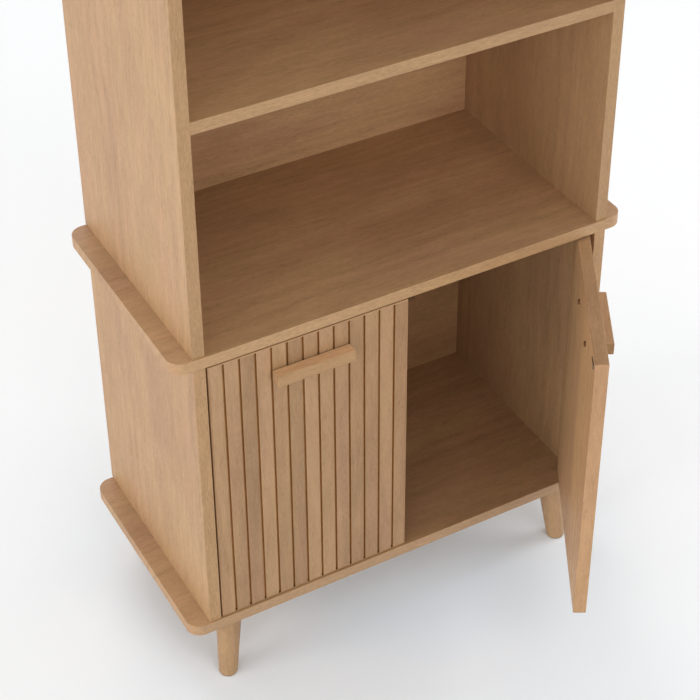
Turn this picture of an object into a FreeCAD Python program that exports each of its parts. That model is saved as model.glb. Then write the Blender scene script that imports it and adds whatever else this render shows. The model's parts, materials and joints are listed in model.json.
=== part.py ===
import FreeCAD, Part
import math
import os

# Bookcase with a two-door cabinet below and an open hutch above.
# X runs to the right, Y from front to back, Z up. Lengths are millimetres, angles degrees.
# The origin is on the floor, in the middle of the rectangle that the bookcase covers as it
# stands: left door shut, right door swung open by right_door_open.

os.makedirs("parts", exist_ok=True)

# ---------------------------------------------------------------- boards (bottom, middle, top)
board_overhang = 30.0        # the boards reach this far past each side panel
board_depth = 360.0
board_thickness = 18.0
board_corner = 22.0          # radius of the four rounded corners, seen from above
board_arris = 0.5            # rounding along the upper and lower edges
board_lead = 3.0             # the boards stand this far ahead of the side panels

# ---------------------------------------------------------------- sides, shelves and backs
carcass_width = 660.0        # over the outside of the side panels
side_thickness = 18.0
side_arris = 0.3             # softened front edges of sides and shelves
cabinet_clear_height = 473.0
compartment_clear_height = 341.0
shelf_thickness = 18.0
back_thickness = 3.0
back_rebate_width = 8.0      # step in the rear inner edge of each side that holds the back
back_edge_inset = 2.0        # the backs end this far inside the faces of the outer boards
back_joint_gap = 1.0         # between the two backs, behind the middle board

# ---------------------------------------------------------------- legs
leg_height = 120.0           # floor to the underside of the bottom board
leg_top_radius = 20.0
leg_foot_radius = 14.2
leg_foot_round = 1.0
leg_splay = 8.0              # lean of the leg's axis, out along the diagonal
leg_inset_x = 44.0           # from the outside of the side panel to the leg's centre
leg_inset_y = 34.0           # from the board's front or rear edge to the same point
pad_radius = 13.0
pad_thickness = 1.5
leg_bolt_diameter = 8.0
leg_bolt_in_leg = 35.0
insert_diameter = 12.0
insert_length = 13.0
insert_bore_reach = 11.0     # how far the bolt runs into the insert

# ---------------------------------------------------------------- doors
door_gap_side = 2.7          # door to side panel
door_gap_centre = 2.6        # between the two shut doors
door_gap_top = 4.5
door_gap_bottom = 1.0
slat_count = 13
slat_thickness = 4.0
slat_groove = 3.2
slat_arris = 0.5
door_core_thickness = 15.0
edging_thickness = 2.0
right_door_open = 60.0
pivot_from_edge = 10.0       # pivot axis from the hinge edge of the door
pivot_behind_slats = 3.0     # pivot axis behind the back of the slats

# ---------------------------------------------------------------- door fittings
handle_length = 120.0
handle_height = 19.0
handle_depth = 16.5
handle_arris = 1.0
handle_standoff = 2.5        # from the slats to the back of the bar
handle_foot_diameter = 14.0  # the two round feet that the bar stands on, one at each screw
handle_drop = 49.5           # from the top of the door to the middle of the handle
handle_screw_spacing = 96.0
handle_screw_diameter = 4.0
handle_screw_head = 8.0
handle_screw_head_height = 2.6
handle_screw_bite = 10.0     # thread inside the bar
pivot_pin_diameter = 5.0
pivot_pin_in_door = 20.0
pivot_pin_in_board = 10.0
pivot_collar_diameter = 9.0
pivot_play = 0.1             # between the bottom collar and the bush it turns on
bush_diameter = 9.0
bush_length = 12.0
bush_flange_diameter = 12.0
bush_flange_thickness = 1.0
running_clearance = 0.05     # radial, pin in bush
strike_from_free_edge = 13.0
strike_drop = 12.5           # from the top of the door to the centre of the strike
strike_radius = 5.0
strike_thickness = 1.0
strike_ear_radius = 3.0
strike_ear_reach = 15.5      # centre of the strike to its screw
strike_screw_diameter = 2.5
strike_screw_head = 4.6
strike_screw_length = 11.0
catch_air_gap = 0.3          # strike to magnet with the door shut
catch_width = 14.0
catch_depth = 22.0
catch_height = 28.0
catch_arris = 1.0
magnet_width = 9.0
magnet_height = 12.0
magnet_depth = 4.0
catch_screw_head_drop = 6.0  # from the board down to the seat of the screw's head

# ---------------------------------------------------------------- carcass fasteners
dowel_diameter = 8.0
dowel_length = 30.0
dowel_in_panel_face = 10.0   # the shorter end, in the face of a board or side
hutch_dowel_setback = 60.0   # from the front and rear of the carcass to the dowels
cabinet_dowel_setback = 80.0
carcass_screw_setback = 110.0
carcass_screw_diameter = 6.0
carcass_screw_head = 10.0
carcass_screw_head_height = 4.0
carcass_screw_length = 50.0
nail_diameter = 1.6
nail_head = 4.0
nail_head_height = 0.8
nail_length = 18.0
nail_columns = 5
nail_end_inset = 30.0        # from the side of a back to its outermost nail
small_screw_diameter = 3.5
small_screw_head = 7.0
small_screw_head_height = 2.2
small_screw_length = 15.0
fit_clearance = 0.05         # radial, fasteners in the holes made for them

# ---------------------------------------------------------------- wall brackets
bracket_width = 30.0
bracket_leaf = 27.0          # along the top board
bracket_rise = 24.0
bracket_thickness = 2.0
bracket_from_centre = 220.0
wall_hole_diameter = 5.5
wall_hole_height = 15.0      # above the top board
bracket_screw_from_rear = 17.0
bracket_screw_spacing = 16.0

# ---------------------------------------------------------------- places worked out from these
LEFT, RIGHT = -1, 1
FRONT, REAR = -1, 1

door_thickness = slat_thickness + door_core_thickness
side_outer_x = carcass_width / 2
side_inner_x = side_outer_x - side_thickness
door_outer_x = side_inner_x - door_gap_side
door_inner_x = door_gap_centre / 2
door_width = door_outer_x - door_inner_x
pivot_x = door_outer_x - pivot_from_edge
pivot_from_front = slat_thickness + pivot_behind_slats

carcass_depth = board_depth - board_lead
side_depth = carcass_depth + back_thickness

# The open door's foremost point is the outer corner of its free edge.
open_turn = math.radians(right_door_open)
open_reach = ((door_width - pivot_from_edge) * math.sin(open_turn)
              + pivot_from_front * math.cos(open_turn) - pivot_from_front)
side_front_y = (open_reach - side_depth) / 2
side_rear_y = side_front_y + side_depth
board_width = carcass_width + 2 * board_overhang
board_front_y = side_front_y - board_lead
board_rear_y = board_front_y + board_depth
door_front_y = side_front_y
door_back_y = door_front_y + door_thickness
core_front_y = door_front_y + slat_thickness
pivot_y = door_front_y + pivot_from_front

bottom_z = leg_height
cabinet_floor_z = bottom_z + board_thickness
middle_z = cabinet_floor_z + cabinet_clear_height
hutch_floor_z = middle_z + board_thickness
shelf_pitch = compartment_clear_height + shelf_thickness
lower_shelf_z = hutch_floor_z + compartment_clear_height
upper_shelf_z = lower_shelf_z + shelf_pitch
top_z = upper_shelf_z + shelf_thickness + compartment_clear_height
top_face_z = top_z + board_thickness
door_bottom_z = cabinet_floor_z + door_gap_bottom
door_top_z = middle_z - door_gap_top

X_AXIS = FreeCAD.Vector(1, 0, 0)
Y_AXIS = FreeCAD.Vector(0, 1, 0)
Z_AXIS = FreeCAD.Vector(0, 0, 1)


# ---------------------------------------------------------------- helpers
def block(x_range, y_range, z_range):
    """A box between the given limits; each pair may be in either order."""
    low = FreeCAD.Vector(min(x_range), min(y_range), min(z_range))
    high = FreeCAD.Vector(max(x_range), max(y_range), max(z_range))
    size = high - low
    return Part.makeBox(size.x, size.y, size.z, low)


def rod(diameter, start, end):
    """A round bar from one point to the other."""
    along = end - start
    return Part.makeCylinder(diameter / 2, along.Length, start, along)


def cut_all(shape, tools):
    """The shape with every tool taken out of it, as one clean solid."""
    tools = list(tools)
    if not tools:
        return shape
    return shape.cut(Part.makeCompound(tools)).removeSplitter()


def edges_along(shape, axis, keep):
    """The straight edges parallel to axis whose midpoint passes the test keep."""
    found = []
    for edge in shape.Edges:
        if not isinstance(edge.Curve, Part.Line):
            continue
        run = edge.Vertexes[1].Point - edge.Vertexes[0].Point
        if abs(run.dot(axis)) > 0.999 * run.Length and keep(edge.CenterOfMass):
            found.append(edge)
    return found


def headed(tip_direction, seat, shank_diameter, length, head_diameter, head_height):
    """A screw or nail whose head's outer face is centred on seat; length includes the head."""
    direction = FreeCAD.Vector(tip_direction)
    direction.normalize()
    head = rod(head_diameter, seat, seat + direction * head_height)
    shank = rod(shank_diameter, seat, seat + direction * length)
    return head.fuse(shank).removeSplitter()


def hole_for(tip_direction, seat, shank_diameter, length, head_diameter, head_height,
             mouth=0.0):
    """The room that headed() needs, opened by mouth on the side of the head."""
    direction = FreeCAD.Vector(tip_direction)
    direction.normalize()
    grow = 2 * fit_clearance
    head = rod(head_diameter + grow, seat - direction * mouth, seat + direction * head_height)
    shank = rod(shank_diameter + grow, seat, seat + direction * (length + fit_clearance))
    return head.fuse(shank)


def turned_about_pivot(shape, side, angle):
    """The shape turned about the vertical pivot axis of the door on the given side."""
    moved = shape.copy()
    moved.rotate(FreeCAD.Vector(side * pivot_x, pivot_y, 0), Z_AXIS, angle)
    return moved


nodes = {}


def keep_node(name, solids):
    """Store one node; a list becomes a group of separate solids."""
    if isinstance(solids, (list, tuple)):
        nodes[name] = Part.makeCompound(list(solids))
    else:
        nodes[name] = solids


# ---------------------------------------------------------------- carcass fasteners
def dowel_rows(setback):
    """The Y places of the dowels, one near the front and one near the rear."""
    return (side_front_y + setback, side_rear_y - setback)


def carcass_screw_rows():
    """The Y places of the carcass screws."""
    return (side_front_y + carcass_screw_setback, side_rear_y - carcass_screw_setback)


def upright_dowels(board_face_z, into_board, setback):
    """Dowels between a board's face and the ends of both sides; into_board is +1 or -1."""
    dowels = []
    for side in (LEFT, RIGHT):
        x = side * (side_outer_x - side_thickness / 2)
        for y in dowel_rows(setback):
            start = FreeCAD.Vector(x, y, board_face_z + into_board * dowel_in_panel_face)
            dowels.append(rod(dowel_diameter, start, start - Z_AXIS * into_board * dowel_length))
    return dowels


def shelf_end_dowels(shelf_z):
    """Dowels between both ends of a shelf and the sides."""
    dowels = []
    z = shelf_z + shelf_thickness / 2
    for side in (LEFT, RIGHT):
        for y in dowel_rows(hutch_dowel_setback):
            start = FreeCAD.Vector(side * (side_inner_x + dowel_in_panel_face), y, z)
            dowels.append(rod(dowel_diameter, start, start - X_AXIS * side * dowel_length))
    return dowels


def carcass_screw_seats():
    """Where the heads of the carcass screws sit, and the way each screw points.

    Half of them run up through the bottom board. The others run down through the middle
    board, and the hutch sides cover their heads."""
    seats = []
    for side in (LEFT, RIGHT):
        x = side * (side_outer_x - side_thickness / 2)
        for y in carcass_screw_rows():
            seats.append((FreeCAD.Vector(x, y, bottom_z), Z_AXIS))
            seats.append((FreeCAD.Vector(x, y, hutch_floor_z), -Z_AXIS))
    return seats


carcass_screw_size = (carcass_screw_diameter, carcass_screw_length,
                      carcass_screw_head, carcass_screw_head_height)
nail_size = (nail_diameter, nail_length, nail_head, nail_head_height)
small_screw_size = (small_screw_diameter, small_screw_length,
                    small_screw_head, small_screw_head_height)


def grown_rod_holes(rods):
    """Holes for plain round rods that lie along X or Z, larger by the fit clearance."""
    holes = []
    for one in rods:
        box = one.BoundBox
        centre = box.Center
        along_x = box.XLength > box.ZLength
        axis = X_AXIS if along_x else Z_AXIS
        half = axis * (max(box.XLength, box.ZLength) / 2 + fit_clearance)
        holes.append(rod(dowel_diameter + 2 * fit_clearance, centre - half, centre + half))
    return holes


hutch_dowels = (upright_dowels(hutch_floor_z, -1, hutch_dowel_setback)
                + upright_dowels(top_z, 1, hutch_dowel_setback))
cabinet_dowels = (upright_dowels(cabinet_floor_z, -1, cabinet_dowel_setback)
                  + upright_dowels(middle_z, 1, cabinet_dowel_setback))
shelf_dowels = shelf_end_dowels(lower_shelf_z) + shelf_end_dowels(upper_shelf_z)
carcass_screws = [headed(way, seat, *carcass_screw_size) for seat, way in carcass_screw_seats()]
carcass_screw_holes = [hole_for(way, seat, *carcass_screw_size, mouth=board_thickness)
                       for seat, way in carcass_screw_seats()]


def nail_places():
    """Nails through the backs into the rear edges of the boards and shelves."""
    reach = side_inner_x - nail_end_inset
    step = 2 * reach / (nail_columns - 1)
    quarter = board_thickness / 4
    rows = [bottom_z + board_thickness / 2, middle_z + quarter, hutch_floor_z - quarter,
            lower_shelf_z + shelf_thickness / 2, upper_shelf_z + shelf_thickness / 2,
            top_z + board_thickness / 2]
    return [FreeCAD.Vector(-reach + column * step, side_rear_y, z)
            for z in rows for column in range(nail_columns)]


back_nails = [headed(-Y_AXIS, place, *nail_size) for place in nail_places()]
nail_holes = [hole_for(-Y_AXIS, place, *nail_size, mouth=back_thickness)
              for place in nail_places()]
keep_node("hutch_dowels", hutch_dowels)
keep_node("cabinet_dowels", cabinet_dowels)
keep_node("shelf_dowels", shelf_dowels)
keep_node("carcass_screws", carcass_screws)
keep_node("back_nails", back_nails)


# ---------------------------------------------------------------- legs
def leg_frames():
    """Name, centre of the leg at the board's underside, and its axis pointing up."""
    lean = math.tan(math.radians(leg_splay)) / math.sqrt(2)
    frames = []
    for depth, row in ((FRONT, "front"), (REAR, "rear")):
        edge_y = board_front_y if depth == FRONT else board_rear_y
        for side, hand in ((LEFT, "left"), (RIGHT, "right")):
            top = FreeCAD.Vector(side * (side_outer_x - leg_inset_x),
                                 edge_y - depth * leg_inset_y, bottom_z)
            axis = FreeCAD.Vector(-side * lean, -depth * lean, 1)
            axis.normalize()
            frames.append(("leg_%s_%s" % (row, hand), top, axis))
    return frames


def leg_bolt(top, axis):
    """Headless bolt on the leg's axis, half in the leg and half in the board's insert."""
    return rod(leg_bolt_diameter, top - axis * leg_bolt_in_leg, top + axis * insert_bore_reach)


def leg_solid(top, axis):
    """A tapered turned leg, cut level at the board and at the pad, with a soft foot edge."""
    rise = 1 / axis.z
    foot = top - axis * (leg_height * rise)
    spare = leg_top_radius
    slope = (leg_top_radius - leg_foot_radius) / (leg_height * rise)
    low_radius = leg_foot_radius - slope * spare
    high_radius = leg_top_radius + slope * spare
    cone = Part.makeCone(low_radius, high_radius, leg_height * rise + 2 * spare,
                         foot - axis * spare, axis)
    reach = board_width
    level = block((top.x - reach, top.x + reach), (top.y - reach, top.y + reach),
                  (pad_thickness, bottom_z))
    leg = cone.common(level)
    foot_edges = [edge for edge in leg.Edges
                  if edge.BoundBox.ZMax < pad_thickness + leg_foot_round]
    leg = leg.makeFillet(leg_foot_round, foot_edges)
    bolt_room = rod(leg_bolt_diameter + 2 * fit_clearance,
                    top - axis * (leg_bolt_in_leg + fit_clearance), top + axis * spare)
    return leg.cut(bolt_room)


def insert_solid(top, axis):
    """Threaded sleeve let into the bottom board on the leg's axis, level at the board."""
    below = insert_diameter
    sleeve = rod(insert_diameter, top - axis * below, top + axis * insert_length)
    bore = rod(leg_bolt_diameter + 2 * fit_clearance, top - axis * below,
               top + axis * (insert_bore_reach + fit_clearance))
    flush = block((top.x - below * 3, top.x + below * 3), (top.y - below * 3, top.y + below * 3),
                  (bottom_z, cabinet_floor_z))
    return sleeve.cut(bore).common(flush)


leg_bolts, leg_inserts, leg_insert_holes, foot_pads = [], [], [], []
for name, top, axis in leg_frames():
    keep_node(name, leg_solid(top, axis))
    leg_bolts.append(leg_bolt(top, axis))
    leg_inserts.append(insert_solid(top, axis))
    leg_insert_holes.append(rod(insert_diameter + 2 * fit_clearance, top - axis * insert_diameter,
                                top + axis * (insert_length + fit_clearance)))
    foot = top - axis * (leg_height / axis.z)
    foot_pads.append(rod(2 * pad_radius, foot, foot + Z_AXIS * pad_thickness))
keep_node("leg_bolts", leg_bolts)
keep_node("leg_inserts", leg_inserts)
keep_node("foot_pads", foot_pads)


# ---------------------------------------------------------------- door pivots in the boards
def bush(side, face_z, into_board):
    """Flanged nylon bush, let in level with a board's face, and the hole for it."""
    centre = FreeCAD.Vector(side * pivot_x, pivot_y, face_z)
    inward = Z_AXIS * into_board
    body = rod(bush_diameter, centre, centre + inward * bush_length)
    flange = rod(bush_flange_diameter, centre, centre + inward * bush_flange_thickness)
    bore = rod(pivot_pin_diameter + 2 * running_clearance, centre,
               centre + inward * (pivot_pin_in_board + pivot_play))
    hole = rod(bush_diameter + 2 * fit_clearance, centre,
               centre + inward * (bush_length + fit_clearance))
    seat = rod(bush_flange_diameter + 2 * fit_clearance, centre,
               centre + inward * bush_flange_thickness)
    return body.fuse(flange).removeSplitter().cut(bore), hole.fuse(seat)


pivot_bushes, top_bush_holes, bottom_bush_holes = [], [], []
for side in (LEFT, RIGHT):
    solid, hole = bush(side, middle_z, 1)
    pivot_bushes.append(solid)
    top_bush_holes.append(hole)
    solid, hole = bush(side, cabinet_floor_z, -1)
    pivot_bushes.append(solid)
    bottom_bush_holes.append(hole)
keep_node("pivot_bushes", pivot_bushes)


# ---------------------------------------------------------------- magnetic catches
def catch_parts(side):
    """Housing, magnet, screw and screw hole of the catch that holds one shut door."""
    x = side * (door_inner_x + strike_from_free_edge)
    front = door_back_y + strike_thickness + catch_air_gap
    magnet_z = door_top_z - strike_drop
    housing = block((x - catch_width / 2, x + catch_width / 2), (front, front + catch_depth),
                    (middle_z - catch_height, middle_z))
    lower_edges = [edge for edge in housing.Edges
                   if edge.BoundBox.ZMax < middle_z - catch_height / 2]
    housing = housing.makeFillet(catch_arris, lower_edges)
    magnet = block((x - magnet_width / 2, x + magnet_width / 2), (front, front + magnet_depth),
                   (magnet_z - magnet_height / 2, magnet_z + magnet_height / 2))
    seat = FreeCAD.Vector(x, front + (catch_depth + magnet_depth) / 2,
                          middle_z - catch_screw_head_drop - small_screw_head_height)
    screw = headed(Z_AXIS, seat, *small_screw_size)
    hole = hole_for(Z_AXIS, seat, *small_screw_size, mouth=catch_height)
    return housing.cut(magnet).cut(hole), magnet, screw, hole


catches = [catch_parts(side) for side in (LEFT, RIGHT)]
keep_node("catch_housings", [catch[0] for catch in catches])
keep_node("catch_magnets", [catch[1] for catch in catches])
keep_node("catch_screws", [catch[2] for catch in catches])
catch_screw_holes = [catch[3] for catch in catches]


# ---------------------------------------------------------------- wall brackets
def bracket_parts(side):
    """Angle bracket on the top board, its two screws and their holes."""
    x = side * bracket_from_centre
    width = (x - bracket_width / 2, x + bracket_width / 2)
    leaf = block(width, (side_rear_y - bracket_leaf, side_rear_y),
                 (top_face_z, top_face_z + bracket_thickness))
    upright = block(width, (side_rear_y - bracket_thickness, side_rear_y),
                    (top_face_z, top_face_z + bracket_rise))
    wall_point = FreeCAD.Vector(x, side_rear_y, top_face_z + wall_hole_height)
    wall_hole = rod(wall_hole_diameter, wall_point - Y_AXIS * bracket_leaf, wall_point)
    seats = [FreeCAD.Vector(x + offset, side_rear_y - bracket_screw_from_rear,
                            top_face_z + bracket_thickness + small_screw_head_height)
             for offset in (-bracket_screw_spacing / 2, bracket_screw_spacing / 2)]
    screws = [headed(-Z_AXIS, seat, *small_screw_size) for seat in seats]
    holes = [rod(small_screw_diameter + 2 * fit_clearance, seat,
                 seat - Z_AXIS * (small_screw_length + fit_clearance)) for seat in seats]
    bracket = leaf.fuse(upright).removeSplitter().cut(wall_hole)
    return cut_all(bracket, holes), screws, holes


brackets = [bracket_parts(side) for side in (LEFT, RIGHT)]
keep_node("wall_brackets", [bracket[0] for bracket in brackets])
keep_node("wall_bracket_screws", [screw for bracket in brackets for screw in bracket[1]])
bracket_screw_holes = [hole for bracket in brackets for hole in bracket[2]]


# ---------------------------------------------------------------- boards
def board(z):
    """One full-width board with round corners and softened edges; z is its underside."""
    slab = block((-board_width / 2, board_width / 2), (board_front_y, board_rear_y),
                 (z, z + board_thickness))
    slab = slab.makeFillet(board_corner, edges_along(slab, Z_AXIS, lambda point: True))
    rims = [edge for edge in slab.Edges if edge.BoundBox.ZLength < board_arris]
    return slab.makeFillet(board_arris, rims)


keep_node("bottom_board", cut_all(board(bottom_z), leg_insert_holes + bottom_bush_holes
                                  + carcass_screw_holes + nail_holes
                                  + grown_rod_holes(cabinet_dowels)))
keep_node("middle_board", cut_all(board(middle_z), top_bush_holes + carcass_screw_holes
                                  + catch_screw_holes + nail_holes
                                  + grown_rod_holes(cabinet_dowels + hutch_dowels)))
keep_node("top_board", cut_all(board(top_z), bracket_screw_holes + nail_holes
                               + grown_rod_holes(hutch_dowels)))


# ---------------------------------------------------------------- sides and shelves
def side_panel(side, low_z, high_z):
    """An upright side with the step for the back and soft front edges."""
    panel = block((side * side_inner_x, side * side_outer_x), (side_front_y, side_rear_y),
                  (low_z, high_z))
    front_edges = edges_along(panel, Z_AXIS, lambda point: point.y < 0)
    panel = panel.makeFillet(side_arris, front_edges)
    step = block((side * side_inner_x, side * (side_inner_x + back_rebate_width)),
                 (side_rear_y - back_thickness, side_rear_y), (low_z, high_z))
    return panel.cut(step)


for side, hand in ((LEFT, "left"), (RIGHT, "right")):
    keep_node("cabinet_side_" + hand,
              cut_all(side_panel(side, cabinet_floor_z, middle_z),
                      carcass_screw_holes + grown_rod_holes(cabinet_dowels)))
    keep_node("hutch_side_" + hand,
              cut_all(side_panel(side, hutch_floor_z, top_z),
                      grown_rod_holes(hutch_dowels + shelf_dowels)))


def shelf(z):
    """A fixed shelf between the sides; z is its underside."""
    slab = block((-side_inner_x, side_inner_x), (side_front_y, side_front_y + carcass_depth),
                 (z, z + shelf_thickness))
    front_edges = edges_along(slab, X_AXIS, lambda point: point.y < 0)
    slab = slab.makeFillet(side_arris, front_edges)
    return cut_all(slab, grown_rod_holes(shelf_dowels) + nail_holes)


keep_node("lower_shelf", shelf(lower_shelf_z))
keep_node("upper_shelf", shelf(upper_shelf_z))


# ---------------------------------------------------------------- backs
def back_sheet(low_z, high_z):
    """A thin back nailed to the rear of the boards, its sides in the steps of the sides."""
    reach = side_inner_x + back_rebate_width
    sheet = block((-reach, reach), (side_rear_y - back_thickness, side_rear_y), (low_z, high_z))
    return cut_all(sheet, nail_holes)


middle_board_centre_z = middle_z + board_thickness / 2
keep_node("cabinet_back", back_sheet(bottom_z + back_edge_inset,
                                     middle_board_centre_z - back_joint_gap / 2))
keep_node("hutch_back", back_sheet(middle_board_centre_z + back_joint_gap / 2,
                                   top_face_z - back_edge_inset))


# ---------------------------------------------------------------- doors
def door_x(side, from_hinge_edge):
    """X of a point of the shut door, measured from its hinge edge."""
    return side * (door_outer_x - from_hinge_edge)


def slat(side, first, last):
    """One vertical slat between two distances from the hinge edge, front edges bevelled."""
    low = door_bottom_z + edging_thickness
    height = door_top_z - edging_thickness - low
    outline = [(first, core_front_y), (first, door_front_y + slat_arris),
               (first + slat_arris, door_front_y), (last - slat_arris, door_front_y),
               (last, door_front_y + slat_arris), (last, core_front_y)]
    points = [FreeCAD.Vector(door_x(side, run), y, low) for run, y in outline]
    face = Part.Face(Part.makePolygon(points + points[:1]))
    return face.extrude(Z_AXIS * height)


def door_slats(side):
    """All slats of one door, evenly spaced, the outer two trimmed for the edging."""
    pitch = (door_width + slat_groove) / slat_count
    slats = []
    for number in range(slat_count):
        first = max(number * pitch, edging_thickness)
        last = min((number + 1) * pitch - slat_groove, door_width - edging_thickness)
        slats.append(slat(side, first, last))
    return slats


def pivot_pin(side, end):
    """The pin at the top (end = 1) or bottom (end = -1) of a door."""
    edge_z = door_top_z if end > 0 else door_bottom_z
    board_z = middle_z if end > 0 else cabinet_floor_z
    at = FreeCAD.Vector(side * pivot_x, pivot_y, 0)
    pin = rod(pivot_pin_diameter, at + Z_AXIS * (edge_z - end * pivot_pin_in_door),
              at + Z_AXIS * (board_z + end * pivot_pin_in_board))
    if end < 0:
        collar = rod(pivot_collar_diameter, at + Z_AXIS * edge_z,
                     at + Z_AXIS * (board_z + pivot_play))
        pin = pin.fuse(collar).removeSplitter()
    return pin


def pin_holes(side):
    """Room in the door for both pins."""
    at = FreeCAD.Vector(side * pivot_x, pivot_y, 0)
    depth = pivot_pin_in_door + fit_clearance
    size = pivot_pin_diameter + 2 * fit_clearance
    return [rod(size, at + Z_AXIS * (door_top_z - depth), at + Z_AXIS * door_top_z),
            rod(size, at + Z_AXIS * (door_bottom_z + depth), at + Z_AXIS * door_bottom_z)]


handle_z = door_top_z - handle_drop
handle_screw_size = (handle_screw_diameter,
                     handle_screw_head_height + door_thickness + handle_standoff
                     + handle_screw_bite,
                     handle_screw_head, handle_screw_head_height)


def handle_screw_seats(side):
    """Outer faces of the two handle screws' heads, which stand on the back of the door."""
    seat_y = door_back_y + handle_screw_head_height
    middle = door_width / 2
    return [FreeCAD.Vector(door_x(side, middle + offset), seat_y, handle_z)
            for offset in (-handle_screw_spacing / 2, handle_screw_spacing / 2)]


def handle_solid(side):
    """A square bar with soft outer edges on two round feet, all one piece."""
    middle = door_width / 2
    back_y = door_front_y - handle_standoff
    bar = block((door_x(side, middle - handle_length / 2), door_x(side, middle + handle_length / 2)),
                (back_y, back_y - handle_depth),
                (handle_z - handle_height / 2, handle_z + handle_height / 2))
    outer_edges = [edge for edge in bar.Edges if edge.CenterOfMass.y < back_y - handle_depth / 4]
    bar = bar.makeFillet(handle_arris, outer_edges)
    feet = [rod(handle_foot_diameter, FreeCAD.Vector(seat.x, door_front_y, seat.z),
                FreeCAD.Vector(seat.x, back_y, seat.z)) for seat in handle_screw_seats(side)]
    return bar.fuse(feet).removeSplitter()


def strike_centre(side):
    """Centre of the strike, on the back of the door near its free top corner."""
    return FreeCAD.Vector(door_x(side, door_width - strike_from_free_edge), door_back_y,
                          door_top_z - strike_drop)


def strike_plate(side):
    """A round steel disc with a narrow ear for its screw."""
    centre = strike_centre(side)
    ear = centre + X_AXIS * side * strike_ear_reach
    back = Y_AXIS * strike_thickness
    disc = rod(2 * strike_radius, centre, centre + back)
    ear_disc = rod(2 * strike_ear_radius, ear, ear + back)
    neck = block((centre.x, ear.x), (door_back_y, door_back_y + strike_thickness),
                 (centre.z - strike_ear_radius / 2, centre.z + strike_ear_radius / 2))
    return disc.fuse([ear_disc, neck]).removeSplitter()


strike_screw_size = (strike_screw_diameter, strike_screw_length,
                     strike_screw_head, strike_thickness)


def door_nodes(side, hand):
    """Every piece of one shut door, by node name."""
    outer, inner = door_x(side, 0), door_x(side, door_width)
    outer_core, inner_core = (door_x(side, edging_thickness),
                              door_x(side, door_width - edging_thickness))
    low_core, high_core = door_bottom_z + edging_thickness, door_top_z - edging_thickness
    depth = (door_front_y, door_back_y)

    screw_holes = [hole_for(-Y_AXIS, seat, *handle_screw_size)
                   for seat in handle_screw_seats(side)]
    strike_seat = (strike_centre(side) + X_AXIS * side * strike_ear_reach
                   + Y_AXIS * strike_thickness)
    strike_hole = hole_for(-Y_AXIS, strike_seat, *strike_screw_size)

    core = block((outer_core, inner_core), (core_front_y, door_back_y), (low_core, high_core))
    core = cut_all(core, screw_holes + pin_holes(side) + [strike_hole])

    strips = [block((outer, inner), depth, (high_core, door_top_z)),
              block((outer, inner), depth, (door_bottom_z, low_core)),
              block((outer, outer_core), depth, (low_core, high_core)),
              block((inner, inner_core), depth, (low_core, high_core))]
    strips = [cut_all(strip, pin_holes(side)) for strip in strips]

    return {
        hand + "_door_panel": core,
        hand + "_door_slats": [cut_all(one, screw_holes) for one in door_slats(side)],
        hand + "_door_edging": strips,
        hand + "_handle": cut_all(handle_solid(side), screw_holes),
        hand + "_handle_screws": [headed(-Y_AXIS, seat, *handle_screw_size)
                                  for seat in handle_screw_seats(side)],
        hand + "_pivot_pins": [pivot_pin(side, 1), pivot_pin(side, -1)],
        hand + "_strike_plate": strike_plate(side).cut(strike_hole),
        hand + "_strike_screw": headed(-Y_AXIS, strike_seat, *strike_screw_size),
    }


for side, hand, turn in ((LEFT, "left", 0.0), (RIGHT, "right", right_door_open)):
    for name, solids in door_nodes(side, hand).items():
        group = solids if isinstance(solids, list) else [solids]
        turned = [turned_about_pivot(one, side, turn) for one in group]
        keep_node(name, turned if len(turned) > 1 else turned[0])


# ---------------------------------------------------------------- write and report
for name, shape in nodes.items():
    shape.exportStep("parts/%s.step" % name)

print("nodes", len(nodes))
print("side fronts at y %.3f, side rears at y %.3f" % (side_front_y, side_rear_y))
print("pivot axes at x +-%.3f, y %.3f" % (pivot_x, pivot_y))
print("levels: cabinet floor %.1f, middle board %.1f, hutch floor %.1f" %
      (cabinet_floor_z, middle_z, hutch_floor_z))
print("shelves at %.1f and %.1f, top board %.1f to %.1f" %
      (lower_shelf_z, upper_shelf_z, top_z, top_face_z))
print("door %.2f wide, %.2f high, %.1f thick" %
      (door_width, door_top_z - door_bottom_z, door_thickness))
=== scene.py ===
# %% [markdown]
# # A light oak bookcase with a slatted cabinet
#
# The construction comes ready-made: boards, sides, doors, legs and fittings, each a node of its
# own, each on the body that it moves with. This lesson gives every piece its surface. A node
# whose shape is right keeps its mesh and gets a material. A node whose edges have to catch the
# light gets a new, finer surface, worked out with numpy and standing exactly where the node is.

# %% Load the frame
import json
import math

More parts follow.
